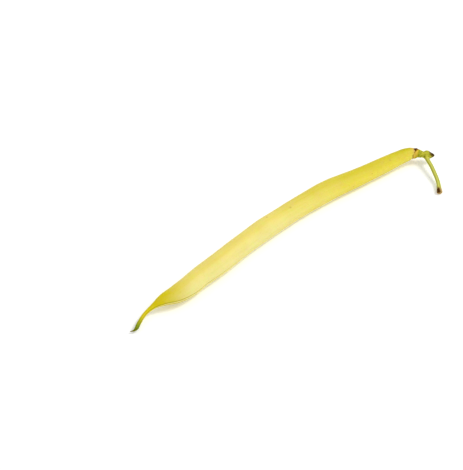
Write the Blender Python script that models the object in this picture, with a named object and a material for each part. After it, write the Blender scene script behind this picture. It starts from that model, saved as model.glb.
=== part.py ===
"""One yellow wax bean as picked: the pod with its hooked beak, the dried calyx and the stem.

The bean lies on its side on the plane z = 0, along X, with the beak towards -X and the stem
towards +X. Sizes below are in millimetres and each mesh is made in metres.
"""

import bmesh
import bpy
import numpy as np
from math import cos, exp, pi, radians, sin

MM = 0.001
UP = np.array([0.0, 0.0, 1.0])

# The pod's middle line from the calyx to the tip of the beak. Each row is x, y, how far the
# underside is above the floor, and the width from seam to seam.
POD_ROUTE = (
    (72.2, 5.7, 3.05, 3.1),
    (71.55, 6.25, 3.0, 3.3),
    (70.9, 6.65, 2.55, 4.2),
    (69.0, 7.3, 2.1, 5.1),
    (66.0, 7.9, 1.75, 5.7),
    (58.5, 8.8, 1.15, 6.4),
    (45.0, 10.2, 0.75, 7.0),
    (30.0, 12.2, 0.25, 8.2),
    (13.5, 12.5, 0.1, 8.3),
    (-5.0, 11.4, 0.08, 8.5),
    (-23.5, 9.55, 0.08, 8.5),
    (-41.5, 7.05, 0.08, 8.4),
    (-49.5, 5.55, 0.15, 8.2),
    (-54.5, 5.35, 0.6, 7.1),
    (-60.5, 6.15, 1.8, 4.1),
    (-65.0, 6.7, 2.1, 2.2),
    (-69.5, 6.1, 1.75, 1.55),
    (-74.1, 3.95, 1.25, 1.4),
    (-78.3, 3.4, 0.95, 0.3),
)
POD_WIDEST = 8.5
POD_FLATNESS = 0.93  # thickness for each millimetre of width
POD_RING_SPACING = 0.2  # for each millimetre of width
POD_LEAST_SPACING = 0.7
POD_SIDES = 26
SEAM_CROWDING = 0.25  # draws the sides of a ring towards the two seams
SEAM_ROLL_AT_STEM = radians(30)  # how far the near seam is turned down
SEAM_ROLL_AT_BEAK = radians(10)
SEAM_RIDGE = 0.16  # where the pod is widest
SEAM_RIDGE_REACH = 0.35
SEAM_GROOVE = 0.08
SEAM_GROOVE_AT = 0.8  # on either side of the ridge

SEED_COUNT = 8
FIRST_SEED = 20.0  # along the pod, from the calyx
SEED_SPACING = 14.5
SEED_SWELLING = 0.2
SEED_REACH = 4.5

# The calyx is a shallow cup on the pod's end, with five short teeth.
CALYX_FLOOR = (72.38, 5.55, 4.5)
CALYX_OUTWARD = (0.75, -0.66, -0.05)  # from the pod towards the stem
CALYX_LENGTH = 1.75
CALYX_BACK_RADIUS = 1.6
CALYX_SHOULDER_RADIUS = 1.9
CALYX_SHOULDER_AT = 1.15  # behind the floor
CALYX_RIM_RADIUS = 2.2
CALYX_FULL_AT = 0.35  # behind the floor
CALYX_WALL = 0.3
CALYX_RIM = 0.35  # how far the rim reaches over the pod between two teeth
CALYX_TEETH = (0.6, 0.4, 0.6, 0.45, 0.55)
CALYX_SIDES_PER_TOOTH = 6

# The knuckle runs from behind the calyx to the withered stub. Rows are x, y, z and diameter.
KNUCKLE_ROUTE = (
    (73.9, 4.2, 4.4, 3.1),
    (74.45, 3.65, 4.2, 2.75),
    (75.2, 2.95, 4.0, 3.05),
    (76.0, 2.3, 3.85, 3.45),
    (76.7, 1.6, 3.8, 3.2),
    (77.3, 1.0, 3.8, 2.6),
    (77.8, 0.5, 3.85, 1.6),
    (78.2, 0.15, 3.9, 0.7),
)
# The stem leaves the knuckle, comes down in a curve and touches the floor with its wider end.
STEM_ROUTE = (
    (75.7, 2.4, 3.8, 1.9),
    (74.9, 1.1, 3.7, 1.75),
    (74.1, -0.7, 3.5, 1.5),
    (73.1, -3.4, 3.2, 1.4),
    (71.6, -6.6, 2.6, 1.4),
    (70.1, -9.7, 2.0, 1.4),
    (68.6, -12.2, 1.6, 1.5),
    (67.4, -14.0, 1.3, 1.9),
    (66.1, -15.8, 1.1, 2.35),
)
STEM_RING_SPACING = 0.5
STEM_LEAST_SPACING = 0.4
STEM_SIDES = 14
STEM_HOLLOW_RADIUS = 0.8
STEM_HOLLOW_DEPTH = 0.9

FLOOR_CUTTER_SIZE = (180.0, 60.0, 6.0)

YELLOW_SKIN = (0.83, 0.68, 0.17)
SKIN_ROUGHNESS = 0.42
DRY_BROWN = (0.36, 0.20, 0.06)
DRY_ROUGHNESS = 0.8
STEM_GREEN = (0.45, 0.52, 0.09)
STEM_ROUGHNESS = 0.5


def clear_scene():
    for obj in list(bpy.data.objects):
        bpy.data.objects.remove(obj, do_unlink=True)


def make_collection(name):
    collection = bpy.data.collections.new(name)
    bpy.context.scene.collection.children.link(collection)
    return collection


def make_material(name, colour, roughness):
    material = bpy.data.materials.new(name)
    material.use_nodes = True
    shader = material.node_tree.nodes["Principled BSDF"]
    shader.inputs["Base Color"].default_value = (*colour, 1.0)
    shader.inputs["Roughness"].default_value = roughness
    shader.inputs["Metallic"].default_value = 0.0
    return material


def ring_distances(knots, widths, spacing, least):
    """Distances along a route for its rings, which lie closer together where it is thinner."""
    distances = [0.0]
    while distances[-1] < knots[-1]:
        width = np.interp(distances[-1], knots, widths)
        distances.append(distances[-1] + max(spacing * width, least))
    return np.array(distances) * knots[-1] / distances[-1]


def smooth_route(rows, spacing, least):
    """Rows on a smooth curve through the given ones, and the distance of each along it."""
    rows = np.array(rows, float)
    steps = np.linalg.norm(np.diff(rows[:, :2], axis=0), axis=1)
    knots = np.insert(np.cumsum(steps), 0, 0.0)
    slopes = np.gradient(rows, knots, axis=0)
    distances = ring_distances(knots, rows[:, 3], spacing, least)
    span = np.clip(np.searchsorted(knots, distances, side="right") - 1, 0, len(knots) - 2)
    width = (knots[span + 1] - knots[span])[:, None]
    t = (distances - knots[span])[:, None] / width
    start = (2 * t**3 - 3 * t**2 + 1) * rows[span] + (t**3 - 2 * t**2 + t) * width * slopes[span]
    end = (3 * t**2 - 2 * t**3) * rows[span + 1] + (t**3 - t**2) * width * slopes[span + 1]
    return start + end, distances


def across_route(places):
    """For each place of a route, the level direction to its near side and the one square to both."""
    along = np.gradient(places, axis=0)
    along /= np.linalg.norm(along, axis=1)[:, None]
    near = np.cross(UP, along)
    near /= np.linalg.norm(near, axis=1)[:, None]
    return near, np.cross(along, near)


def seam_height(arc, width):
    """How far the skin stands out at this distance round the pod from a seam."""
    ridge = SEAM_RIDGE * exp(-((arc / SEAM_RIDGE_REACH) ** 2))
    groove = SEAM_GROOVE * exp(-(((arc - SEAM_GROOVE_AT) / SEAM_RIDGE_REACH) ** 2))
    return (ridge - groove) * width / POD_WIDEST


def seed_height(distance):
    seeds = (FIRST_SEED + SEED_SPACING * number for number in range(SEED_COUNT))
    return SEED_SWELLING * sum(exp(-(((distance - seed) / SEED_REACH) ** 2)) for seed in seeds)


def pod_ring(distance, length, centre, width, near, up):
    """One ring of the pod: an oval with a ridge at both seams, fuller where a seed lies."""
    roll = SEAM_ROLL_AT_STEM + (SEAM_ROLL_AT_BEAK - SEAM_ROLL_AT_STEM) * distance / length
    seam = near * cos(roll) - up * sin(roll)
    flank = up * cos(roll) + near * sin(roll)
    half_width = width / 2
    half_thickness = half_width * POD_FLATNESS
    ring = []
    for side in range(POD_SIDES):
        turn = 2 * pi * side / POD_SIDES
        turn -= SEAM_CROWDING * sin(2 * turn)
        arc = half_width * min(turn % pi, pi - turn % pi)
        extra = seam_height(arc, width) + seed_height(distance) * sin(turn) ** 2
        ring.append(
            centre
            + seam * (half_width + extra) * cos(turn)
            + flank * (half_thickness + extra) * sin(turn)
        )
    return ring


def pod_rings():
    rows, distances = smooth_route(POD_ROUTE, POD_RING_SPACING, POD_LEAST_SPACING)
    places = rows[:, :3].copy()
    places[:, 2] += rows[:, 3] / 2 * POD_FLATNESS
    near, up = across_route(places)
    return [
        pod_ring(distances[i], distances[-1], places[i], rows[i, 3], near[i], up[i])
        for i in range(len(rows))
    ]


def stem_rings(route):
    """Round rings along a route whose rows are x, y, z and diameter."""
    rows, _ = smooth_route(route, STEM_RING_SPACING, STEM_LEAST_SPACING)
    places = rows[:, :3]
    near, up = across_route(places)
    turns = 2 * pi * np.arange(STEM_SIDES) / STEM_SIDES
    return [
        [places[i] + rows[i, 3] / 2 * (near[i] * cos(turn) + up[i] * sin(turn)) for turn in turns]
        for i in range(len(rows))
    ]


def calyx_rings():
    """Rings from the calyx's back up its outside, over the toothed rim and down to its floor."""
    outward = np.array(CALYX_OUTWARD) / np.linalg.norm(CALYX_OUTWARD)
    near = np.cross(outward, UP)
    near /= np.linalg.norm(near)
    up = np.cross(near, outward)
    sides = CALYX_SIDES_PER_TOOTH * len(CALYX_TEETH)

    def ring(radius, over_pod, with_teeth):
        points = []
        for side in range(sides):
            turn = 2 * pi * side / sides
            tooth = CALYX_TEETH[side // CALYX_SIDES_PER_TOOTH]
            rise = sin(pi * (side % CALYX_SIDES_PER_TOOTH) / CALYX_SIDES_PER_TOOTH)
            reach = over_pod + (tooth * rise if with_teeth else 0.0)
            round_it = near * cos(turn) + up * sin(turn)
            points.append(np.array(CALYX_FLOOR) + radius * round_it - reach * outward)
        return points

    return [
        ring(CALYX_BACK_RADIUS, -CALYX_LENGTH, False),
        ring(CALYX_SHOULDER_RADIUS, -CALYX_SHOULDER_AT, False),
        ring(CALYX_RIM_RADIUS, -CALYX_FULL_AT, False),
        ring(CALYX_RIM_RADIUS, CALYX_RIM, True),
        ring(CALYX_RIM_RADIUS - CALYX_WALL, CALYX_RIM, True),
        ring(CALYX_RIM_RADIUS - CALYX_WALL, 0.0, False),
    ]


def tube_through(name, rings, collection):
    """A closed mesh whose end face is drawn out from ring to ring."""
    bm = bmesh.new()
    bmesh.ops.create_circle(bm, cap_ends=True, segments=len(rings[0]), radius=MM)
    bm.faces.ensure_lookup_table()
    cap = bm.faces[0]
    for number, ring in enumerate(rings):
        if number:
            end = [cap, *cap.edges, *cap.verts]
            drawn = bmesh.ops.extrude_face_region(bm, geom=end)["geom"]
            cap = next(item for item in drawn if isinstance(item, bmesh.types.BMFace))
        for vert, point in zip(cap.verts, ring):
            vert.co = point * MM
    bmesh.ops.recalc_face_normals(bm, faces=bm.faces)
    mesh = bpy.data.meshes.new(name)
    bm.to_mesh(mesh)
    bm.free()
    obj = bpy.data.objects.new(name, mesh)
    collection.objects.link(obj)
    return obj


def hide_as_helper(obj):
    obj.hide_render = True
    obj.display_type = "WIRE"


def add_boolean(obj, name, operation, other):
    modifier = obj.modifiers.new(name, "BOOLEAN")
    modifier.operation = operation
    modifier.solver = "EXACT"
    modifier.object = other


def finish_solid(obj, material, parent):
    obj.data.materials.append(material)
    obj.data.shade_smooth()
    obj.parent = parent


def make_floor_cutter(collection):
    """A block just under the floor, which takes the low spots of the bean flat."""
    bpy.ops.mesh.primitive_cube_add(size=1.0)
    cutter = bpy.context.object
    cutter.name = "floor_cutter"
    cutter.scale = [size * MM for size in FLOOR_CUTTER_SIZE]
    cutter.location = (0.0, 0.0, -FLOOR_CUTTER_SIZE[2] / 2 * MM)
    for owner in list(cutter.users_collection):
        owner.objects.unlink(cutter)
    collection.objects.link(cutter)
    hide_as_helper(cutter)
    return cutter


def make_stem_hollow(collection):
    """A ball drawn out along the stem, which sinks the pith of its wide end."""
    end = np.array(STEM_ROUTE[-1][:3])
    before = np.array(STEM_ROUTE[-2][:3])
    outward = (end - before) / np.linalg.norm(end - before)
    bm = bmesh.new()
    bmesh.ops.create_icosphere(bm, subdivisions=2, radius=STEM_HOLLOW_RADIUS * MM)
    for vert in bm.verts:
        off_centre = np.array(vert.co)
        stretch = STEM_HOLLOW_DEPTH / STEM_HOLLOW_RADIUS - 1
        vert.co = end * MM + off_centre + outward * (off_centre @ outward) * stretch
    mesh = bpy.data.meshes.new("stem_hollow")
    bm.to_mesh(mesh)
    bm.free()
    hollow = bpy.data.objects.new("stem_hollow", mesh)
    collection.objects.link(hollow)
    hide_as_helper(hollow)
    return hollow


def make_bean():
    clear_scene()
    bean = make_collection("wax_bean")
    cutters = make_collection("wax_bean_cutters")
    place = bpy.data.objects.new("bean_place", None)
    bean.objects.link(place)
    floor_cutter = make_floor_cutter(cutters)

    pod = tube_through("pod", pod_rings(), bean)
    add_boolean(pod, "flat_low_spots", "DIFFERENCE", floor_cutter)
    finish_solid(pod, make_material("yellow_pod_skin", YELLOW_SKIN, SKIN_ROUGHNESS), place)

    calyx = tube_through("calyx", calyx_rings(), bean)
    finish_solid(calyx, make_material("dried_calyx", DRY_BROWN, DRY_ROUGHNESS), place)

    stem = tube_through("stem", stem_rings(STEM_ROUTE), bean)
    knuckle = tube_through("knuckle", stem_rings(KNUCKLE_ROUTE), cutters)
    hide_as_helper(knuckle)
    add_boolean(stem, "join_knuckle", "UNION", knuckle)
    add_boolean(stem, "sink_pith", "DIFFERENCE", make_stem_hollow(cutters))
    add_boolean(stem, "flat_low_spot", "DIFFERENCE", floor_cutter)
    finish_solid(stem, make_material("green_stem", STEM_GREEN, STEM_ROUGHNESS), place)


make_bean()
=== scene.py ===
"""The looks of one yellow wax bean as picked, lying on its side.

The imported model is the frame. Each of its three nodes gets a finer piece that stands for it: the
pod with its waxy skin and hooked beak, the dried calyx, and the green stem with its knuckle. The
tables below are in millimetres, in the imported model's frame, and the meshes are in metres.
"""

from math import cos, pi, radians, sin

import bmesh
import bpy
import numpy as np
from bpy.props import FloatProperty, FloatVectorProperty, IntProperty, PointerProperty
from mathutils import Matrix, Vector, noise
from mathutils.bvhtree import BVHTree


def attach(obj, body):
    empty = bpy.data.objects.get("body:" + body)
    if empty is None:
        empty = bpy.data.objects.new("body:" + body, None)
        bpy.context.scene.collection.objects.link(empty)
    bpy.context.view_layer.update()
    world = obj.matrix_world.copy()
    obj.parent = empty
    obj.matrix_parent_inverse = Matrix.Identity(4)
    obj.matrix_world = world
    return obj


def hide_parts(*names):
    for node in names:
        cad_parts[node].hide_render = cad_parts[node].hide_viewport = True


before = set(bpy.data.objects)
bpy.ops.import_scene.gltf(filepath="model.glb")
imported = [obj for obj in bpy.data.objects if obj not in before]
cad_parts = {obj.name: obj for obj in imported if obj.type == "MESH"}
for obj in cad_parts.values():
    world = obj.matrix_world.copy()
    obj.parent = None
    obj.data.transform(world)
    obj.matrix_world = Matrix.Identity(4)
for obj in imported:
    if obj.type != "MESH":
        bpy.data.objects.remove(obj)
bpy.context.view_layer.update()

bl_info = {
    "name": "Wax Bean",
    "version": (1, 0, 0),
    "blender": (4, 5, 0),
    "location": "3D View > Sidebar > Wax Bean",
    "description": "Makes a yellow wax bean with its calyx and stem, and a pale studio round it",
    "category": "Add Mesh",
}

MM = 0.001
UP = np.array([0.0, 0.0, 1.0])
WELD_DISTANCE = 1e-7  # in metres: points of a tube nearer than this become one
PACE_STEPS = 2000  # along a route, to space out the rings
NEAREST_STEPS = 400  # along a route, to find the place nearest to a point
AHEAD = 0.1  # on either side of a place, to find the direction of a line there

# The pod's middle line from inside the calyx to the tip of the beak. Each row is x, y, how far
# the underside is above the floor, and the width from seam to seam.
POD_ROUTE = np.array((
    (73.3, 4.95, 2.73, 3.6),
    (72.2, 5.95, 2.53, 4.3),
    (70.9, 6.8, 2.4, 4.9),
    (69.0, 7.3, 2.05, 5.6),
    (66.0, 7.9, 1.75, 5.9),
    (58.5, 8.8, 1.15, 6.7),
    (45.0, 10.2, 0.75, 7.4),
    (30.0, 12.0, 0.25, 8.7),
    (13.5, 12.4, 0.1, 8.6),
    (3.0, 12.0, 0.08, 8.65),
    (-6.0, 11.35, 0.08, 9.1),
    (-14.0, 10.55, 0.08, 8.75),
    (-23.5, 9.25, 0.08, 8.9),
    (-33.0, 7.8, 0.08, 9.0),
    (-41.5, 7.0, 0.08, 8.7),
    (-49.5, 5.75, 0.15, 8.4),
    (-54.5, 5.7, 0.6, 7.4),
    (-60.5, 6.5, 1.8, 4.7),
    (-65.0, 6.75, 2.1, 2.3),
    (-69.5, 6.1, 1.75, 1.6),
    (-72.7, 4.7, 1.4, 1.6),
    (-74.35, 3.85, 1.1, 1.6),
    (-75.5, 3.15, 0.95, 1.5),
    (-76.6, 3.05, 0.8, 0.95),
    (-77.45, 3.4, 0.8, 0.5),
    (-78.3, 3.8, 0.85, 0.35),
))
POD_WIDEST = 9.1
POD_FLATNESS = 0.88  # thickness for each millimetre of width
POD_LEAST_PACE = 2.2  # rings get no closer where the pod is thinner than this
SEAM_CROWDING = 0.25  # draws the sides of a ring towards the two seams
SEAM_ROLL_AT_STEM = radians(30)  # how far the near seam is turned down
SEAM_ROLL_AT_BEAK = radians(2)
CREASE_DEPTH = 0.05  # the fine crease along the top of the seam's string
CREASE_REACH = 0.07
GROOVE_AT = 0.62  # on either side of the string
GROOVE_REACH = 0.2  # to where it has risen to about a third of its depth
FAR_SEAM = 0.7  # relief of the far seam, for each millimetre of the near one's
SEED_COUNT = 8
FIRST_SEED = 20.0  # along the pod
SEED_SPACING = 14.5
SEED_REACH = 4.5  # to where a swelling has fallen to about a third
END_ROUNDING = 0.8  # over this length each end of the pod closes

# The skin's broad dents, as layers of smooth noise. Each row is the noise's scale along the pod,
# the width of its dents, its share of the height, and its place in the noise.
POD_DENTS = (
    (0.35, 4.5, 1.0, 3.0),
    (0.5, 1.6, 0.3, 11.0),
)

# Small brown marks on the skin: distance along the pod, angle round it from the near seam in
# degrees, and radius.
BLEMISHES = (
    (66.3, 96.0, 0.3),
    (73.9, 112.0, 0.18),
    (77.6, 120.0, 0.28),
    (14.5, 92.0, 0.22),
    (25.0, 58.0, 0.2),
)
MARK_STRENGTH = 0.6  # share of the marks' own colour in them

# The calyx is a shallow cup on the pod's end, with five short dried teeth.
CALYX_FLOOR = np.array((72.55, 5.8, 4.5))
CALYX_OUTWARD = np.array((0.75, -0.66, -0.05))  # from the pod towards the stem
CALYX_LENGTH = 1.75  # from the floor of the cup to its back
CALYX_REACH = 0.3  # from the floor of the cup forwards to its rim, between the teeth
CALYX_ASKEW = 0.8  # further on its lower near side, and as much less on the other
CALYX_ASKEW_TO = radians(-30)
CALYX_LOOSE = 1.2  # further back than this from the floor, the cup doesn't touch the pod
CALYX_GAP = 0.03  # between the pod and the cup
CALYX_CURL = 0.12  # how far the tips of the teeth stand off the pod
CALYX_CURL_START = 0.8  # share of the way to the rim where that begins
CALYX_WALL_START = 0.05  # share of the way to the rim over which the wall gets its thickness
CALYX_RAGGED = 0.15  # depth of the tears in the rim, for each millimetre of tooth
CALYX_FOLDS = 0.07  # height of the folds in the cup
CALYX_RIBS = 10
CALYX_RIB = 0.04  # height of each
CALYX_EDGE = 0.18  # how deep the rim is brown all round

# Each tooth of the calyx: its middle round the rim in degrees from the near side upwards, half
# its width in degrees, and its length as a share of the setting.
CALYX_TEETH = (
    (8.0, 12.0, 0.75),
    (98.0, 19.2, 1.3),
    (165.0, 18.0, 1.0),
    (238.0, 18.0, 0.8),
    (305.0, 16.8, 0.9),
)

# Where the rim has withered furthest: middle in degrees, half width, and how deep it is dark.
CALYX_DARK_SPOTS = (
    (102.0, 30.0, 1.9),
    (0.0, 14.0, 0.3),
    (235.0, 30.0, 0.9),
)

# The side of the cup that is still green: middle in degrees and half width.
CALYX_GREEN_SIDE = (-25.0, 35.0)
CALYX_GREENER = 0.6  # how much further to the rim that side is green, in cup lengths

# The knuckle runs from inside the calyx to the withered stub. Rows are x, y, z and diameter.
KNUCKLE_ROUTE = np.array((
    (73.3, 4.9, 4.45, 3.4),
    (73.9, 4.3, 4.35, 3.25),
    (74.35, 3.75, 4.15, 2.9),
    (74.75, 3.35, 4.0, 2.6),
    (75.2, 2.97, 3.95, 3.05),
    (75.7, 2.55, 3.93, 3.7),
    (76.15, 2.15, 3.9, 3.75),
    (76.6, 1.72, 3.82, 3.3),
    (77.35, 0.97, 3.8, 2.3),
    (77.9, 0.43, 3.9, 1.5),
    (78.4, 0.0, 3.95, 0.6),
))
KNUCKLE_RIBS = 7
KNUCKLE_RIB = 0.1  # height of each
KNUCKLE_BUMPS = 0.13  # height
KNUCKLE_ROUNDING = 0.2  # over this length each of its ends closes
KNUCKLE_HIGHLIGHT_HEIGHT = 0.2  # bumps as high as this get the brightest painted highlight, and dips as deep get the most painted shade
STUB_LENGTH = 2.86  # of the knuckle's end that has withered
STUB_FADE = 2.0  # it gets darker over this length
STUB_DARK_SIDE = radians(45)  # round the knuckle: its top on the side of the pod's back
STUB_LEAN = 0.55  # how much darker that side is
STUB_DARKEST = 1.5  # at the stub's tip, where 0 is green and 1 is brown

# The stem leaves the knuckle, comes down in a curve and touches the floor with its wider end.
# Rows are x, y, z and diameter.
STEM_ROUTE = np.array((
    (75.7, 2.4, 3.8, 1.9),
    (74.9, 1.1, 3.7, 1.85),
    (74.15, -0.7, 3.5, 1.65),
    (73.2, -3.4, 3.2, 1.6),
    (71.87, -6.6, 2.6, 1.6),
    (70.45, -9.72, 2.0, 1.6),
    (68.97, -12.2, 1.6, 1.65),
    (67.6, -13.95, 1.3, 1.95),
    (66.15, -15.75, 1.1, 2.35),
))
STEM_BUMPS = 0.03  # height
STEM_ROUNDING = 0.25  # over this length each of its ends closes
STEM_GREEN_FROM = 1.5  # the knuckle's colour holds this far down, and fades over as much again
DRY_LENGTH = 2.9  # of the stem's dried end
DRY_FADE = 1.8  # it dries over this length
RIB_TURN = radians(110)  # one rib of the stem faces upwards
RIB_MIDDLE = 0.6  # a rib's height that falls on the stem's own radius
STALK_GRAIN = 0.8  # width of the bumps of stem and knuckle

# The rotted hollow in the stem's cut end.
HOLLOW_RADIUS = 0.62
HOLLOW_STRETCH = 2.6  # along the stem, for each millimetre across
HOLLOW_SIDE = np.array((-0.5, 0.39, 0.77))  # the side of the stem's end that has rotted away
HOLLOW_OFF_CENTRE = 0.8  # towards that side
HOLLOW_BACK = 0.1  # its middle is this far up the stem from the end
PITH_REACH = 1.7  # how far its dark colour reaches, in radii of the hollow
PITH_FADE = 0.6  # and over how many it fades


def linear(hex_colour):
    """A linear colour with full alpha, from an sRGB hex value."""
    parts = [int(hex_colour[at : at + 2], 16) / 255 for at in (0, 2, 4)]
    return (*(c / 12.92 if c <= 0.04045 else ((c + 0.055) / 1.055) ** 2.4 for c in parts), 1.0)


def size_setting(name, description, millimetres):
    """A length, whose default is given in millimetres."""
    return FloatProperty(
        name=name, description=description, default=millimetres * MM, unit="LENGTH", precision=5
    )


def colour_setting(name, description, hex_colour):
    """A colour, whose default is given as an sRGB hex value."""
    return FloatVectorProperty(
        name=name,
        description=description,
        default=linear(hex_colour),
        size=4,
        subtype="COLOR",
        min=0.0,
        max=1.0,
    )


class WaxBeanPodSettings(bpy.types.PropertyGroup):
    """Sizes and colours of the pod."""

    rings: IntProperty(name="Rings", description="Rings along the pod", default=520, min=40)
    sides: IntProperty(name="Sides", description="Sides of each ring", default=116, min=16)
    seam_ridge: size_setting("Seam Ridge", "Height of the string along each seam", 0.17)
    seam_reach: size_setting("Seam Reach", "Half the width of the string", 0.32)
    groove: size_setting("Groove", "Depth of the groove on either side of a seam", 0.1)
    seed_swelling: size_setting("Seed Swelling", "How far each seed lifts the skin", 0.2)
    unevenness: size_setting("Unevenness", "Height of the skin's broad low dents", 0.12)
    # the flank's colours, Cream and Warm Yellow, are the skin's yellows painted lighter, a painted
    # highlight
    pale: colour_setting("Pale Yellow", "Upper side along the middle of the pod", "EEDC74")
    highlit_cream: colour_setting("Cream", "Flank along the middle of the pod", "ECE190")
    golden: colour_setting("Golden Yellow", "Upper side of the calyx end", "D9C934")
    highlit_warm: colour_setting("Warm Yellow", "Flank of the calyx end", "EADA54")
    blush: colour_setting("Blush", "Dull patches of the skin beside the calyx", "DCB462")
    mustard: colour_setting("Mustard", "Skin where the beak begins", "DCCA06")
    green: colour_setting("Green", "Skin of the beak", "869806")
    tip: colour_setting("Tip", "Dry tip of the beak", "80742A")
    string: colour_setting("String", "Cream string along the seam", "F0E29A")
    mark: colour_setting("Mark", "Small brown marks on the skin", "8A6A1E")


class WaxBeanCalyxSettings(bpy.types.PropertyGroup):
    """Sizes and colours of the calyx."""

    rim_radius: size_setting("Rim Radius", "Radius of the cup at its rim", 2.2)
    back_radius: size_setting("Back Radius", "Radius of the cup where the stem begins", 1.58)
    wall: size_setting("Wall", "Thickness of the dried rim", 0.14)
    tooth: size_setting("Tooth", "Length of a tooth of middling size", 0.75)
    husk: colour_setting("Husk", "Dried body of the cup", "E2BE48")
    green: colour_setting("Green", "Part of the cup that is still green", "B8A818")
    rim: colour_setting("Rim", "Dried rim and teeth", "9A7212")
    black: colour_setting("Blackened Rim", "Where the rim has withered furthest", "562E03")


class WaxBeanStemSettings(bpy.types.PropertyGroup):
    """Sizes and colours of the stem and its knuckle."""

    voxel: size_setting("Voxel", "Grain of the mesh that joins knuckle and stem", 0.085)
    rib: size_setting("Rib", "Height of the stem's lengthwise ribs", 0.09)
    ribs: IntProperty(name="Ribs", description="Ribs round the stem", default=4, min=3)
    # painted highlight on the tops of the ribs and painted shade in the grooves between them
    light: colour_setting("Light Green", "Tops of the ribs", "D0CF60")
    dark: colour_setting("Dark Green", "Grooves between the ribs", "989E2E")
    # the bright and dark patches of the knuckle are mottling, and also a painted highlight on its
    # raised bumps and painted shade in its dips
    bright: colour_setting("Bright Patches", "Lighter patches of the knuckle and neck", "D4CE46")
    knuckle: colour_setting("Knuckle", "Darker patches of the knuckle and neck", "8A8E04")
    dry: colour_setting("Dry Rim", "Dried rim of the stem's cut end", "B8995C")
    stub: colour_setting("Stub", "Withered stub beside the stem", "786410")
    stub_tip: colour_setting("Stub Tip", "Top and tip of the withered stub", "463406")
    pith: colour_setting("Pith", "Rotted hollow of the stem's end", "6A440E")


class WaxBeanStageSettings(bpy.types.PropertyGroup):
    """Camera, light and floor."""

    aim: FloatVectorProperty(
        name="Aim",
        description="Point that the camera looks at",
        default=(-15.4 * MM, 20.25 * MM, 0.0),
        subtype="TRANSLATION",
        unit="LENGTH",
        precision=5,
    )
    distance: size_setting("Distance", "From the aim to the camera", 600.0)
    azimuth: FloatProperty(
        name="Azimuth", description="Turn of the camera", default=radians(-39.18), subtype="ANGLE"
    )
    elevation: FloatProperty(
        name="Elevation", description="Height angle", default=radians(45.0), subtype="ANGLE"
    )
    lens: FloatProperty(
        name="Lens", description="Focal length", default=114.24, unit="CAMERA"
    )
    floor_size: size_setting("Floor Size", "Width of the floor", 6000.0)
    floor: colour_setting("Floor", "White board under the bean", "F7F7F6")
    floor_glow: FloatProperty(
        name="Floor Glow", description="Light that shines up through the white board", default=0.18
    )
    sky: FloatProperty(name="Sky", description="Strength of the even light", default=0.68)
    lamp_size: size_setting("Lamp Size", "Width of the soft lamp", 520.0)
    lamp_power: FloatProperty(
        name="Lamp Power", description="Power of the soft lamp", default=9.5, unit="POWER"
    )
    lamp_offset: FloatVectorProperty(
        name="Lamp Offset",
        description="From the aim to the soft lamp",
        default=(820 * MM, -370 * MM, 1120 * MM),
        subtype="TRANSLATION",
        unit="LENGTH",
    )


class WaxBeanSettings(bpy.types.PropertyGroup):
    """All settings of the bean and its stage."""

    pod: PointerProperty(type=WaxBeanPodSettings)
    calyx: PointerProperty(type=WaxBeanCalyxSettings)
    stem: PointerProperty(type=WaxBeanStemSettings)
    stage: PointerProperty(type=WaxBeanStageSettings)


def route_knots(rows):
    """How far along the route each of its rows lies, measured as seen from above."""
    steps = np.linalg.norm(np.diff(rows[:, :2], axis=0), axis=1)
    return np.insert(np.cumsum(steps), 0, 0.0)


def smooth_route(rows, distances):
    """Rows on a smooth curve through the given ones, at these distances along it."""
    knots = route_knots(rows)
    distances = np.clip(distances, 0.0, knots[-1])
    slopes = np.gradient(rows, knots, axis=0)
    span = np.clip(np.searchsorted(knots, distances, side="right") - 1, 0, len(knots) - 2)
    width = (knots[span + 1] - knots[span])[:, None]
    t = (distances - knots[span])[:, None] / width
    start = (2 * t**3 - 3 * t**2 + 1) * rows[span] + (t**3 - 2 * t**2 + t) * width * slopes[span]
    end = (3 * t**2 - 2 * t**3) * rows[span + 1] + (t**3 - t**2) * width * slopes[span + 1]
    return start + end


def paced_distances(rows, shares, least_pace):
    """Distances along a route for shares of it from 0 to 1, closer together where it is thin."""
    knots = route_knots(rows)
    steps = np.linspace(0.0, knots[-1], PACE_STEPS)
    pace = 1 / np.maximum(np.interp(steps, knots, rows[:, 3]), least_pace)
    gone = np.insert(np.cumsum((pace[1:] + pace[:-1]) / 2), 0, 0.0)
    return np.interp(shares, gone / gone[-1], steps)


def directions_across(place, distances):
    """For each distance along a line, the level direction to its near side and the one upwards."""
    ahead = place(distances + AHEAD) - place(distances - AHEAD)
    ahead /= np.linalg.norm(ahead, axis=1)[:, None]
    near = np.cross(UP, ahead)
    near /= np.linalg.norm(near, axis=1)[:, None]
    return near, np.cross(ahead, near)


def rounded_ends(distances, length, rounding):
    """Shares of the full girth that close both ends of a tube in a round cap."""
    to_end = np.clip(np.minimum(distances, length - distances) / rounding, 0.0, 1.0)
    return np.sqrt(1 - (1 - to_end) ** 2)


def bump_at(points, grain, seed):
    """Smooth noise from -1 to 1 at points in millimetres, with features about one grain wide."""
    shift = Vector((seed, seed, seed))
    return np.array([noise.noise(Vector(point) / grain + shift) for point in points])


def make_tube(name, rings, sides, surface):
    """A closed tube: a flat grid rolled up by surface, whose attributes go on the mesh's points.

    surface takes shares of the length and of the girth for all points, and gives their places
    in millimetres and a dictionary of values for the material.
    """
    bm = bmesh.new()
    # the flat grid is one unit wide, and its places are moved to run from 0 to 1 both ways
    bmesh.ops.create_grid(bm, x_segments=rings, y_segments=sides, size=0.5)
    flat = np.array([vert.co for vert in bm.verts]) + 0.5
    places, values = surface(flat[:, 0], flat[:, 1])
    layers = {}
    for key, numbers in values.items():
        kind = bm.verts.layers.float if numbers.ndim == 1 else bm.verts.layers.float_vector
        layers[key] = kind.new(key)
    for number, vert in enumerate(bm.verts):
        vert.co = places[number] * MM
        for key, layer in layers.items():
            vert[layer] = values[key][number]
    bmesh.ops.remove_doubles(bm, verts=bm.verts, dist=WELD_DISTANCE)
    bmesh.ops.recalc_face_normals(bm, faces=bm.faces)
    return object_from(bm, name)


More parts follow.
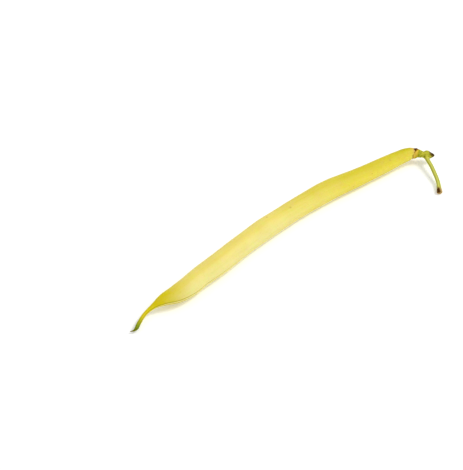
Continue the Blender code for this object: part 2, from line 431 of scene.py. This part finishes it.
def object_from(bm, name):
    """A smooth object in the scene, made of this mesh."""
    mesh = bpy.data.meshes.new(name)
    bm.to_mesh(mesh)
    bm.free()
    mesh.shade_smooth()
    obj = bpy.data.objects.new(name, mesh)
    bpy.context.scene.collection.objects.link(obj)
    return obj


def finish_piece(obj, material, node):
    """Gives a piece its material and puts it in the place of its node."""
    obj.data.materials.clear()
    obj.data.materials.append(material)
    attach(obj, "root")
    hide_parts(node)


def add_node(tree, kind, sockets, **settings):
    """Adds a shader node with its settings, and gives each named socket a value or a link."""
    node = tree.nodes.new("ShaderNode" + kind)
    for key, value in settings.items():
        setattr(node, key, value)
    for key, value in sockets.items():
        if isinstance(value, bpy.types.NodeSocket):
            tree.links.new(value, node.inputs[key])
        else:
            node.inputs[key].default_value = value
    return node


def start_material(name):
    """A new material with its node tree and the shader in it."""
    material = bpy.data.materials.new(name)
    material.use_nodes = True
    return material, material.node_tree, material.node_tree.nodes["Principled BSDF"]


def lay_over(tree, under, over, most, *edges):
    """Lays one colour over another, by at most this share, and gives the mixed colour.

    Each edge is a value with two limits. The layer is absent at the first limit and whole at
    the second, and comes in smoothly between them. Shares and colours may also be links.
    """
    share = most
    for value, absent, whole in edges:
        spread = {"Value": value, "From Min": absent, "From Max": whole, "To Max": share}
        eased = add_node(tree, "MapRange", spread, interpolation_type="SMOOTHSTEP")
        share = eased.outputs["Result"]
    # a mix of colours takes its share at input 0 and the colours at 6 and 7, and gives output 2
    mixed = add_node(tree, "Mix", {0: share, 6: under, 7: over}, data_type="RGBA")
    return mixed.outputs[2]


def seam_profile(pod, arc):
    """Height of the skin at this distance round the pod from a seam: string, crease, grooves."""
    string = pod.seam_ridge / MM * np.exp(-((arc / (pod.seam_reach / MM)) ** 2))
    crease = CREASE_DEPTH * np.exp(-((arc / CREASE_REACH) ** 2))
    groove = pod.groove / MM * np.exp(-(((arc - GROOVE_AT) / GROOVE_REACH) ** 2))
    return string - crease - groove


def pod_centre(distances):
    """Places on the pod's middle line, at these distances along it."""
    rows = smooth_route(POD_ROUTE, distances)
    places = rows[:, :3].copy()
    places[:, 2] += rows[:, 3] / 2 * POD_FLATNESS
    return places


def pod_surface(pod, shares, turn_shares):
    """Places of the pod's skin, and the values that its material reads."""
    length = route_knots(POD_ROUTE)[-1]
    distances = paced_distances(POD_ROUTE, shares, POD_LEAST_PACE)
    turn = 2 * pi * turn_shares
    turn = turn - SEAM_CROWDING * np.sin(2 * turn)
    half_width = smooth_route(POD_ROUTE, distances)[:, 3] / 2
    half_thickness = half_width * POD_FLATNESS
    slimness = half_width * 2 / POD_WIDEST

    near_arc = half_width * np.minimum(turn, 2 * pi - turn)
    far_arc = half_width * np.abs(turn - pi)
    straight = np.column_stack(
        (distances, half_width * np.cos(turn), half_thickness * np.sin(turn))
    )
    # the seeds swell the flanks and leave the two seams where they are
    seeds = sum(
        np.exp(-(((distances - FIRST_SEED - SEED_SPACING * number) / SEED_REACH) ** 2))
        for number in range(SEED_COUNT)
    )
    dents = sum(
        share * bump_at(straight * (scale, 1.0, 1.0), width, seed)
        for scale, width, share, seed in POD_DENTS
    )
    extra = seam_profile(pod, near_arc) + FAR_SEAM * seam_profile(pod, far_arc)
    extra = extra * slimness + pod.unevenness / MM * dents * slimness
    extra = extra + pod.seed_swelling / MM * seeds * np.sin(turn) ** 2

    roll = SEAM_ROLL_AT_STEM + (SEAM_ROLL_AT_BEAK - SEAM_ROLL_AT_STEM) * distances / length
    near, up = directions_across(pod_centre, distances)
    seam = near * np.cos(roll)[:, None] - up * np.sin(roll)[:, None]
    flank = up * np.cos(roll)[:, None] + near * np.sin(roll)[:, None]
    girth = rounded_ends(distances, length, END_ROUNDING)
    places = (
        pod_centre(distances)
        + seam * (girth * (half_width + extra) * np.cos(turn))[:, None]
        + flank * (girth * (half_thickness + extra) * np.sin(turn))[:, None]
    )
    places[:, 2] = np.maximum(places[:, 2], 0.0)  # the low spots lie flat on the floor

    blemish = np.zeros(len(distances))
    for along, angle, radius in BLEMISHES:
        off = np.hypot(distances - along, half_width * (turn - radians(angle)))
        blemish = np.maximum(blemish, np.exp(-((off / radius) ** 2)))
    values = {
        "along": distances,
        "around": np.minimum(turn, 2 * pi - turn) / pi,
        "near_arc": near_arc,
        "far_arc": far_arc,
        "straight": straight,
        "blemish": MARK_STRENGTH * blemish,
    }
    return places, values


def ground_colour(tree, pod, along, around):
    """The pod's plain colour: one row of colours for its upper side and one for its flank, which
    is painted lighter, a painted highlight.
    """
    length = route_knots(POD_ROUTE)[-1]
    spread = {"Value": along, "From Min": 0.0, "From Max": length}
    share = add_node(tree, "MapRange", spread).outputs["Result"]
    # each colour with its place in millimetres along the pod; the flank's colours are painted
    # lighter than the upper side's, a painted highlight
    upper_stops = (
        (4.0, pod.golden),
        (33.0, pod.golden),
        (77.0, pod.pale),
        (123.0, pod.pale),
        (134.0, pod.mustard),
        (145.0, pod.mustard),
        (150.5, pod.green),
        (153.5, pod.tip),
    )
    highlit_flank_stops = (
        (4.0, pod.highlit_warm),
        (35.0, pod.highlit_warm),
        (79.0, pod.highlit_cream),
        (124.5, pod.highlit_cream),
        (136.0, pod.mustard),
        (146.0, pod.mustard),
        (150.5, pod.green),
        (153.5, pod.tip),
    )
    rows = []
    for stops in (upper_stops, highlit_flank_stops):
        ramp = add_node(tree, "ValToRGB", {"Fac": share})
        elements = ramp.color_ramp.elements
        while len(elements) < len(stops):
            elements.new(0.5)
        for element, (place, colour) in zip(elements, stops):
            element.position = place / length
            element.color = colour
        rows.append(ramp.outputs["Color"])
    upper, flank = rows
    return lay_over(tree, flank, upper, 1.0, (around, 0.22, 0.56))


def pod_colour(tree, pod, straight):
    """The pod's colour, in layers from the plain colour to the marks on top."""
    along, around, near_arc, far_arc, blemish = (
        add_node(tree, "Attribute", {}, attribute_name=name).outputs["Fac"]
        for name in ("along", "around", "near_arc", "far_arc", "blemish")
    )
    colour = ground_colour(tree, pod, along, around)

    # lengthwise streaks about 1 mm wide and mottling about 4 mm wide
    streak_place = add_node(tree, "Mapping", {"Vector": straight, "Scale": (0.06, 1.0, 1.0)})
    streaks = add_node(
        tree, "TexNoise", {"Vector": streak_place.outputs["Vector"], "Scale": 0.9, "Detail": 3.0}
    )
    mottle = add_node(tree, "TexNoise", {"Vector": straight, "Scale": 0.22, "Detail": 4.0})
    deeper = add_node(tree, "HueSaturation", {"Color": colour, "Saturation": 1.15, "Value": 0.94})
    deeper = deeper.outputs["Color"]
    colour = lay_over(tree, colour, deeper, 0.35, (streaks.outputs["Fac"], 0.45, 0.75))
    colour = lay_over(tree, colour, deeper, 0.3, (mottle.outputs["Fac"], 0.45, 0.8))

    # peach and lime tints in patches about 2 mm wide
    tints = add_node(tree, "TexNoise", {"Vector": straight, "Scale": 0.45, "Detail": 2.0})
    tints = tints.outputs["Fac"]
    peach = add_node(tree, "HueSaturation", {"Color": colour, "Hue": 0.492, "Saturation": 0.96})
    lime = add_node(tree, "HueSaturation", {"Color": colour, "Hue": 0.512, "Value": 0.97})
    colour = lay_over(tree, colour, peach.outputs["Color"], 1.0, (tints, 0.5, 0.75))
    colour = lay_over(tree, colour, lime.outputs["Color"], 1.0, (tints, 0.5, 0.25))

    # painted shade: a darker, deeper golden band by the far seam, along the pod's upper edge
    far_seam_shade = add_node(tree, "HueSaturation", {"Color": colour, "Saturation": 1.25, "Value": 0.93})
    colour = lay_over(tree, colour, far_seam_shade.outputs["Color"], 0.6, (far_arc, 3.0, 0.6))

    # an olive line beside the near seam's string, which gets stronger towards the beak
    strength = add_node(
        tree,
        "MapRange",
        {"Value": along, "From Min": 90.0, "From Max": 130.0, "To Min": 0.22, "To Max": 0.95},
        interpolation_type="SMOOTHSTEP",
    )
    line = add_node(
        tree, "HueSaturation", {"Color": colour, "Hue": 0.505, "Saturation": 1.3, "Value": 0.62}
    )
    colour = lay_over(
        tree,
        colour,
        line.outputs["Color"],
        strength.outputs["Result"],
        (near_arc, 0.95, 0.6),
        (near_arc, 0.3, 0.55),
    )

    # the cream string along the near seam, as far as the green of the beak
    colour = lay_over(
        tree, colour, pod.string, 0.75, (near_arc, 0.4, 0.15), (along, 150.0, 138.0)
    )

    # an olive tint on the far side of the calyx's end: partly the skin still green there, partly
    # painted shade where the pod's upper edge curves away
    calyx_end_green_and_shade = add_node(
        tree, "HueSaturation", {"Color": colour, "Hue": 0.512, "Saturation": 1.05, "Value": 0.8}
    )
    colour = lay_over(
        tree, colour, calyx_end_green_and_shade.outputs["Color"], 1.0, (along, 16.0, 3.0), (around, 0.5, 0.8)
    )

    # dull patches about 2 mm wide, which thin out over the first 7 mm from the calyx
    by_calyx = add_node(
        tree,
        "MapRange",
        {"Value": along, "From Min": 7.0, "From Max": 0.5},
        interpolation_type="SMOOTHSTEP",
    )
    patches = add_node(tree, "TexNoise", {"Vector": straight, "Scale": 0.6, "Detail": 3.0})
    patchy = add_node(
        tree,
        "Math",
        {0: patches.outputs["Fac"], 1: 0.8, 2: by_calyx.outputs["Result"]},
        operation="MULTIPLY_ADD",
    )
    colour = lay_over(tree, colour, pod.blush, 1.0, (patchy.outputs[0], 0.85, 1.45))

    # fine grain about half a millimetre wide, which takes the smoothness off the colour
    grain = add_node(tree, "TexNoise", {"Vector": straight, "Scale": 1.6, "Detail": 4.0})
    dusky = add_node(tree, "HueSaturation", {"Color": colour, "Saturation": 1.1, "Value": 0.9})
    colour = lay_over(
        tree, colour, dusky.outputs["Color"], 0.4, (grain.outputs["Fac"], 0.5, 0.75)
    )

    # sparse specks about 0.3 mm wide, one in some of the cells of a pattern, and the chosen marks
    cells = add_node(tree, "TexVoronoi", {"Vector": straight, "Scale": 0.28})
    colour = lay_over(
        tree,
        colour,
        pod.mark,
        MARK_STRENGTH,
        (cells.outputs["Distance"], 0.06, 0.02),
        (cells.outputs["Color"], 0.75, 0.8),
    )
    return lay_over(tree, colour, pod.mark, blemish)


def make_pod_skin(pod):
    """Waxy bean skin: a satin sheen over flesh that light enters a little way."""
    material, tree, shader = start_material("waxy_bean_skin")
    straight = add_node(tree, "Attribute", {}, attribute_name="straight").outputs["Vector"]
    tree.links.new(pod_colour(tree, pod, straight), shader.inputs["Base Color"])

    # fibres about 0.4 mm wide and four times as long, for the sheen to break on
    fibre_place = add_node(tree, "Mapping", {"Vector": straight, "Scale": (0.25, 1.0, 1.0)})
    fibres = add_node(
        tree, "TexNoise", {"Vector": fibre_place.outputs["Vector"], "Scale": 2.4, "Detail": 5.0}
    )
    rough = add_node(
        tree, "MapRange", {"Value": fibres.outputs["Fac"], "To Min": 0.36, "To Max": 0.5}
    )
    tree.links.new(rough.outputs["Result"], shader.inputs["Roughness"])
    bump = add_node(
        tree, "Bump", {"Height": fibres.outputs["Fac"], "Strength": 0.35, "Distance": 0.12 * MM}
    )
    tree.links.new(bump.outputs["Normal"], shader.inputs["Normal"])
    shader.inputs["IOR"].default_value = 1.45
    shader.inputs["Specular IOR Level"].default_value = 0.15
    shader.inputs["Subsurface Weight"].default_value = 0.2
    # light goes about a millimetre into the flesh, red and yellow further than blue
    shader.inputs["Subsurface Radius"].default_value = (1.0, 0.7, 0.2)
    shader.inputs["Subsurface Scale"].default_value = 1.2 * MM
    return material


def calyx_frame():
    """The calyx's outward direction, its near side and its upper side."""
    outward = CALYX_OUTWARD / np.linalg.norm(CALYX_OUTWARD)
    near = np.cross(outward, UP)
    near /= np.linalg.norm(near)
    return outward, near, np.cross(near, outward)


def near_angle(angle, middle, half):
    """1 at the middle angle, and falling to 0 on either side, in degrees."""
    off = ((angle - middle + 180) % 360 - 180) / half
    return np.exp(-(off**2))


def calyx_surface(calyx, tree, shares, turn_shares):
    """Places of the calyx's skin, draped over the pod's end, and its material's values."""
    outward, near, up = calyx_frame()
    turn = 2 * pi * turn_shares
    angle = np.degrees(turn)
    teeth = sum(
        length * near_angle(angle, middle, half) for middle, half, length in CALYX_TEETH
    )
    # tears in the rim, broad ones and finer ones half as deep, from noise round a circle
    ring = np.column_stack((np.cos(turn), np.sin(turn), 0 * turn))
    ragged = bump_at(ring, 0.3, 5.0) + 0.5 * bump_at(ring, 0.09, 8.0)
    over = CALYX_REACH + CALYX_ASKEW * np.cos(turn - CALYX_ASKEW_TO)
    over = over + calyx.tooth / MM * (teeth + CALYX_RAGGED * ragged)
    # the wall's outline runs out from the back to the rim and returns inside it
    outer = shares < 0.5
    to_rim = np.where(outer, shares * 2, (1 - shares) * 2)
    behind = CALYX_LENGTH - (CALYX_LENGTH + over) * to_rim
    rim_radius = calyx.rim_radius / MM
    back_radius = calyx.back_radius / MM
    # the cup opens slowly behind and more quickly towards its floor
    swell = np.sin(np.clip(1 - behind / CALYX_LENGTH, 0, 1) * pi / 2) ** 1.5
    radius = back_radius + (rim_radius - back_radius) * swell
    # inside the stem's neck the wall starts from nothing, which closes the piece, and it is
    # about half as thick at the rim as at the back
    wall = calyx.wall / MM * (1.3 - 0.6 * to_rim) * np.clip(to_rim / CALYX_WALL_START, 0, 1)
    # folds that change slowly along the cup, and ribs, both half as high at the rim
    folds = bump_at(ring + behind[:, None] * 0.25, 0.35, 2.0)
    relief = CALYX_FOLDS * folds + CALYX_RIB * np.cos(CALYX_RIBS * turn)
    radius = radius + relief * (1 - 0.5 * to_rim)
    radius = np.where(outer, radius, radius - wall)
    places = (
        CALYX_FLOOR
        + near * (radius * np.cos(turn))[:, None]
        + up * (radius * np.sin(turn))[:, None]
        + outward * behind[:, None]
    )
    to_tip = np.clip(to_rim - CALYX_CURL_START, 0, 1) / (1 - CALYX_CURL_START)
    curl = CALYX_CURL * np.clip(teeth, 0, 1) * to_tip
    # the front of the cup is draped over the pod, and lifted out of it where it would sink in
    for number, place in enumerate(places):
        if behind[number] > CALYX_LOOSE:
            continue
        spot, normal, _, _ = tree.find_nearest(Vector(place * MM))
        lift = CALYX_GAP + curl[number] + (wall[number] if outer[number] else 0.0)
        away = (Vector(place * MM) - spot).dot(normal) / MM
        if away < lift or to_rim[number] > CALYX_CURL_START:
            places[number] = np.array(spot + normal * lift * MM) / MM
    dark = CALYX_EDGE + sum(
        depth * near_angle(angle, middle, half) for middle, half, depth in CALYX_DARK_SPOTS
    )
    values = {
        "fresh": behind / CALYX_LENGTH + CALYX_GREENER * near_angle(angle, *CALYX_GREEN_SIDE),
        "withered": dark - (behind + over),
    }
    return places, values


def make_calyx_skin(calyx):
    """Dried calyx: papery tan husk, still green at its back, with a dark shrivelled rim."""
    material, tree, shader = start_material("dried_calyx_husk")
    fresh, withered = (
        add_node(tree, "Attribute", {}, attribute_name=name).outputs["Fac"]
        for name in ("fresh", "withered")
    )
    # blotches about 1 mm wide make the edges of the colours uneven
    place = add_node(tree, "TexCoord", {}).outputs["Object"]
    blotches = add_node(tree, "TexNoise", {"Vector": place, "Scale": 900.0, "Detail": 4.0})
    greener = add_node(
        tree, "Math", {0: blotches.outputs["Fac"], 1: 0.8, 2: fresh}, operation="MULTIPLY_ADD"
    )
    darker = add_node(
        tree, "Math", {0: blotches.outputs["Fac"], 1: 0.5, 2: withered}, operation="MULTIPLY_ADD"
    )
    colour = lay_over(tree, calyx.husk, calyx.green, 1.0, (greener.outputs[0], 0.65, 1.1))
    colour = lay_over(tree, colour, calyx.rim, 1.0, (darker.outputs[0], 0.1, 0.45))
    colour = lay_over(tree, colour, calyx.black, 1.0, (darker.outputs[0], 0.4, 1.2))
    tree.links.new(colour, shader.inputs["Base Color"])
    shader.inputs["Roughness"].default_value = 0.75
    shader.inputs["Specular IOR Level"].default_value = 0.1
    # papery fibres about 0.2 mm wide
    fibres = add_node(tree, "TexNoise", {"Vector": place, "Scale": 5000.0, "Detail": 3.0})
    bump = add_node(
        tree, "Bump", {"Height": fibres.outputs["Fac"], "Strength": 0.5, "Distance": 0.1 * MM}
    )
    tree.links.new(bump.outputs["Normal"], shader.inputs["Normal"])
    return material


def route_places(rows):
    """A function that gives places on the route for distances along it."""
    return lambda distances: smooth_route(rows, distances)[:, :3]


def rib_wave(ribs, turn):
    """1 on top of each rib round a stalk and 0 in the sharp grooves between them."""
    return np.abs(np.cos(ribs * (turn - RIB_TURN) / 2))


def stalk_surface(rows, ribs, rib_height, bumps, rounding, shares, turn_shares):
    """Places of a ribbed or bumpy round stalk along a route."""
    length = route_knots(rows)[-1]
    distances = length * shares
    turn = 2 * pi * turn_shares
    near, up = directions_across(route_places(rows), distances)
    radius = smooth_route(rows, distances)[:, 3] / 2
    radius = radius + rib_height * (rib_wave(ribs, turn) - RIB_MIDDLE)
    centre = route_places(rows)(distances)
    round_it = near * np.cos(turn)[:, None] + up * np.sin(turn)[:, None]
    skin = centre + round_it * radius[:, None]
    radius = radius + bumps * bump_at(skin, STALK_GRAIN, 7.0)
    radius = radius * rounded_ends(distances, length, rounding)
    return centre + round_it * radius[:, None], {}


def nearest_on_route(rows, points):
    """For each point, the distance along the route, the angle round it and how far off it is."""
    steps = np.linspace(0.0, route_knots(rows)[-1], NEAREST_STEPS)
    line = route_places(rows)(steps)
    off = np.linalg.norm(points[:, None, :] - line[None, :, :], axis=2)
    best = off.argmin(axis=1)
    near, up = directions_across(route_places(rows), steps)
    arm = points - line[best]
    angle = np.arctan2((arm * up[best]).sum(axis=1), (arm * near[best]).sum(axis=1))
    return steps[best], angle, off.min(axis=1)


def apply_modifiers(obj):
    """Puts the shape that the modifiers give into the object's own mesh."""
    shown = obj.evaluated_get(bpy.context.evaluated_depsgraph_get())
    mesh = bpy.data.meshes.new_from_object(shown)
    obj.modifiers.clear()
    obj.data = mesh


def add_boolean(obj, operation, other):
    """Joins another object to this one, or cuts it out of it."""
    modifier = obj.modifiers.new(operation.lower(), "BOOLEAN")
    modifier.operation = operation
    modifier.solver = "EXACT"
    modifier.object = other


def hollow_frame():
    """Middle of the stem's rotted hollow and the direction out of the stem's end."""
    end, before = STEM_ROUTE[-1][:3], STEM_ROUTE[-2][:3]
    outward = (end - before) / np.linalg.norm(end - before)
    return end + HOLLOW_SIDE * HOLLOW_OFF_CENTRE - outward * HOLLOW_BACK, outward


def make_hollow():
    """The rotted pith of the stem's end: a ball drawn out along the stem, open at one side."""
    middle, outward = hollow_frame()
    bm = bmesh.new()
    bmesh.ops.create_icosphere(bm, subdivisions=4, radius=HOLLOW_RADIUS)
    for vert in bm.verts:
        off = np.array(vert.co)
        off = off + outward * (off @ outward) * (HOLLOW_STRETCH - 1)
        vert.co = (middle + off) * MM
    return object_from(bm, "hollow")


def make_stem_skin(stem):
    """Fibrous green stem: ribs with a painted highlight on their tops and painted shade in their
    grooves, a dried rim and a dark rotted pith.
    """
    material, tree, shader = start_material("fibrous_green_stem")
    rib, knuckle, raised_highlight, stub, dry, pith = (
        add_node(tree, "Attribute", {}, attribute_name=name).outputs["Fac"]
        for name in ("rib", "knuckle", "raised_highlight", "stub", "dry", "pith")
    )
    # blotches about 1 mm wide, which the withered stub shifts; the knuckle's bumps shift them too,
    # a painted highlight on the raised bumps and painted shade in the dips
    place = add_node(tree, "TexCoord", {}).outputs["Object"]
    blotches = add_node(tree, "TexNoise", {"Vector": place, "Scale": 900.0, "Detail": 4.0})
    mottle_and_highlight = add_node(
        tree, "Math", {0: raised_highlight, 1: 0.15, 2: blotches.outputs["Fac"]}, operation="MULTIPLY_ADD"
    )
    darker = add_node(
        tree, "Math", {0: blotches.outputs["Fac"], 1: 0.5, 2: stub}, operation="MULTIPLY_ADD"
    )
    # painted highlight on the rib tops and painted shade in the grooves
    ribbed = lay_over(tree, stem.dark, stem.light, rib)
    patchy = lay_over(tree, stem.knuckle, stem.bright, 1.0, (mottle_and_highlight.outputs[0], 0.3, 0.7))
    colour = lay_over(tree, ribbed, patchy, knuckle)
    colour = lay_over(tree, colour, stem.dry, dry)
    colour = lay_over(tree, colour, stem.stub, 1.0, (darker.outputs[0], 0.5, 0.95))
    colour = lay_over(tree, colour, stem.stub_tip, 1.0, (darker.outputs[0], 0.85, 1.3))
    colour = lay_over(tree, colour, stem.pith, pith)
    tree.links.new(colour, shader.inputs["Base Color"])
    shader.inputs["Roughness"].default_value = 0.5
    shader.inputs["Specular IOR Level"].default_value = 0.08
    shader.inputs["Subsurface Weight"].default_value = 0.1
    shader.inputs["Subsurface Radius"].default_value = (1.0, 0.8, 0.2)
    shader.inputs["Subsurface Scale"].default_value = 0.5 * MM
    # fibres about 0.25 mm wide
    fibres = add_node(tree, "TexNoise", {"Vector": place, "Scale": 4000.0, "Detail": 3.0})
    bump = add_node(
        tree, "Bump", {"Height": fibres.outputs["Fac"], "Strength": 0.3, "Distance": 0.04 * MM}
    )
    tree.links.new(bump.outputs["Normal"], shader.inputs["Normal"])
    return material


class WAXBEAN_OT_add_pod(bpy.types.Operator):
    """Make the pod with its seams, seed swellings and hooked beak"""

    bl_idname = "wax_bean.add_pod"
    bl_label = "Add Pod"

    def execute(self, context):
        pod = context.scene.wax_bean.pod
        obj = make_tube(
            "bean_pod", pod.rings, pod.sides, lambda along, around: pod_surface(pod, along, around)
        )
        finish_piece(obj, make_pod_skin(pod), "pod")
        return {"FINISHED"}


class WAXBEAN_OT_add_calyx(bpy.types.Operator):
    """Make the dried calyx, which holds the pod's end"""

    bl_idname = "wax_bean.add_calyx"
    bl_label = "Add Calyx"

    def execute(self, context):
        calyx = context.scene.wax_bean.calyx
        pod_mesh = bpy.data.objects["bean_pod"].data
        tree = BVHTree.FromPolygons(
            [vert.co for vert in pod_mesh.vertices], [face.vertices for face in pod_mesh.polygons]
        )
        obj = make_tube(
            "bean_calyx",
            rings=64,
            sides=180,
            surface=lambda along, around: calyx_surface(calyx, tree, along, around),
        )
        finish_piece(obj, make_calyx_skin(calyx), "calyx")
        return {"FINISHED"}


class WAXBEAN_OT_add_stem(bpy.types.Operator):
    """Make the stem with its knuckle, withered stub and hollow end"""

    bl_idname = "wax_bean.add_stem"
    bl_label = "Add Stem"

    def execute(self, context):
        stem = context.scene.wax_bean.stem
        stem_shape = (STEM_ROUTE, stem.ribs, stem.rib / MM, STEM_BUMPS, STEM_ROUNDING)
        knuckle_shape = (
            KNUCKLE_ROUTE, KNUCKLE_RIBS, KNUCKLE_RIB, KNUCKLE_BUMPS, KNUCKLE_ROUNDING
        )
        obj = make_tube(
            "bean_stem",
            rings=200,
            sides=72,
            surface=lambda along, around: stalk_surface(*stem_shape, along, around),
        )
        knuckle = make_tube(
            "knuckle_part",
            rings=90,
            sides=96,
            surface=lambda along, around: stalk_surface(*knuckle_shape, along, around),
        )
        hollow = make_hollow()
        add_boolean(obj, "UNION", knuckle)
        add_boolean(obj, "DIFFERENCE", hollow)
        remesh = obj.modifiers.new("join", "REMESH")
        remesh.mode = "VOXEL"
        remesh.voxel_size = stem.voxel
        # takes off the small steps that the voxels leave
        smooth = obj.modifiers.new("soften", "SMOOTH")
        smooth.iterations = 3
        smooth.factor = 0.5
        apply_modifiers(obj)
        for helper in (knuckle, hollow):
            bpy.data.objects.remove(helper)
        for vert in obj.data.vertices:
            vert.co.z = max(vert.co.z, 0.0)  # the stem's end lies flat on the floor
        self.add_values(obj, stem)
        obj.data.shade_smooth()
        finish_piece(obj, make_stem_skin(stem), "stem")
        return {"FINISHED"}

    def add_values(self, obj, stem):
        """Puts the values that the stem's material reads on the mesh's points."""
        points = np.array([vert.co for vert in obj.data.vertices]) / MM
        along, angle, _ = nearest_on_route(STEM_ROUTE, points)
        knuckle_along, knuckle_angle, off_knuckle = nearest_on_route(KNUCKLE_ROUTE, points)
        length = route_knots(STEM_ROUTE)[-1]
        knuckle_length = route_knots(KNUCKLE_ROUTE)[-1]
        middle, outward = hollow_frame()
        arm = points - middle
        arm_along = arm @ outward
        across = np.sqrt(np.maximum((arm**2).sum(axis=1) - arm_along**2, 0))
        in_hollow = np.hypot(across, arm_along / HOLLOW_STRETCH) / HOLLOW_RADIUS
        on_stem = np.clip((along - STEM_GREEN_FROM) / STEM_GREEN_FROM, 0, 1)
        to_stub = (knuckle_along - knuckle_length + STUB_LENGTH) / STUB_FADE
        to_stub = to_stub + STUB_LEAN * np.cos(knuckle_angle - STUB_DARK_SIDE)
        # how far the knuckle's skin stands out, which sets its painted highlight and shade
        raised_highlight = off_knuckle - smooth_route(KNUCKLE_ROUTE, knuckle_along)[:, 3] / 2
        values = {
            "rib": rib_wave(stem.ribs, angle),
            "knuckle": 1 - on_stem,
            "stub": np.clip(to_stub, 0, STUB_DARKEST) * (1 - on_stem),
            "raised_highlight": np.clip(raised_highlight / KNUCKLE_HIGHLIGHT_HEIGHT, -1, 1),
            "dry": np.clip((along - length + DRY_LENGTH) / DRY_FADE, 0, 1),
            "pith": np.clip((PITH_REACH - in_hollow) / PITH_FADE, 0, 1),
        }
        for key, numbers in values.items():
            layer = obj.data.attributes.new(key, "FLOAT", "POINT")
            layer.data.foreach_set("value", numbers.astype(np.float32))


class WAXBEAN_OT_add_stage(bpy.types.Operator):
    """Make the white board, the even light, the soft lamp and the camera"""

    bl_idname = "wax_bean.add_stage"
    bl_label = "Add Stage"

    def execute(self, context):
        stage = context.scene.wax_bean.stage
        self.add_floor(stage)
        self.add_light(context, stage)
        self.add_camera(context, stage)
        return {"FINISHED"}

    def add_floor(self, stage):
        bm = bmesh.new()
        bmesh.ops.create_grid(bm, x_segments=1, y_segments=1, size=stage.floor_size / 2)
        # just under the bean, so that no two faces lie in one plane
        bmesh.ops.translate(bm, verts=bm.verts, vec=(0.0, 0.0, -0.02 * MM))
        floor = object_from(bm, "floor")
        material, _, shader = start_material("matte_white_board")
        shader.inputs["Base Color"].default_value = stage.floor
        shader.inputs["Roughness"].default_value = 0.9
        shader.inputs["Specular IOR Level"].default_value = 0.1
        shader.inputs["Emission Color"].default_value = stage.floor
        shader.inputs["Emission Strength"].default_value = stage.floor_glow
        floor.data.materials.append(material)

    def add_light(self, context, stage):
        world = bpy.data.worlds.new("even_light")
        world.use_nodes = True
        background = world.node_tree.nodes["Background"]
        background.inputs["Color"].default_value = (1.0, 1.0, 1.0, 1.0)
        background.inputs["Strength"].default_value = stage.sky
        context.scene.world = world
        lamp = bpy.data.lights.new("soft_lamp", "AREA")
        lamp.size = stage.lamp_size
        lamp.energy = stage.lamp_power
        holder = bpy.data.objects.new("soft_lamp", lamp)
        context.scene.collection.objects.link(holder)
        aim = Vector(stage.aim)
        holder.location = aim + Vector(stage.lamp_offset)
        holder.rotation_euler = (aim - holder.location).to_track_quat("-Z", "Y").to_euler()
        context.scene.view_settings.view_transform = "Standard"

    def add_camera(self, context, stage):
        camera = bpy.data.cameras.new("camera")
        camera.lens = stage.lens
        camera.sensor_width = 36.0  # in millimetres
        camera.clip_end = 10.0  # in metres
        holder = bpy.data.objects.new("camera", camera)
        context.scene.collection.objects.link(holder)
        back = Vector((
            sin(stage.azimuth) * cos(stage.elevation),
            -cos(stage.azimuth) * cos(stage.elevation),
            sin(stage.elevation),
        ))
        holder.location = Vector(stage.aim) + back * stage.distance
        holder.rotation_euler = (-back).to_track_quat("-Z", "Y").to_euler()
        context.scene.camera = holder


class WAXBEAN_PT_panel(bpy.types.Panel):
    """Lists the bean's pieces and their settings"""

    bl_idname = "WAXBEAN_PT_panel"
    bl_label = "Wax Bean"
    bl_space_type = "VIEW_3D"
    bl_region_type = "UI"
    bl_category = "Wax Bean"

    def draw(self, context):
        settings = context.scene.wax_bean
        for name in ("pod", "calyx", "stem", "stage"):
            box = self.layout.box()
            group = getattr(settings, name)
            for key in group.__annotations__:
                box.prop(group, key)
            box.operator("wax_bean.add_" + name)


CLASSES = (
    WaxBeanPodSettings,
    WaxBeanCalyxSettings,
    WaxBeanStemSettings,
    WaxBeanStageSettings,
    WaxBeanSettings,
    WAXBEAN_OT_add_pod,
    WAXBEAN_OT_add_calyx,
    WAXBEAN_OT_add_stem,
    WAXBEAN_OT_add_stage,
    WAXBEAN_PT_panel,
)


def register():
    for item in CLASSES:
        bpy.utils.register_class(item)
    bpy.types.Scene.wax_bean = PointerProperty(type=WaxBeanSettings)


def unregister():
    del bpy.types.Scene.wax_bean
    for item in reversed(CLASSES):
        bpy.utils.unregister_class(item)


def main():
    register()
    bpy.ops.wax_bean.add_stage()
    bpy.ops.wax_bean.add_pod()
    bpy.ops.wax_bean.add_calyx()
    bpy.ops.wax_bean.add_stem()


if __name__ == "__main__":
    main()
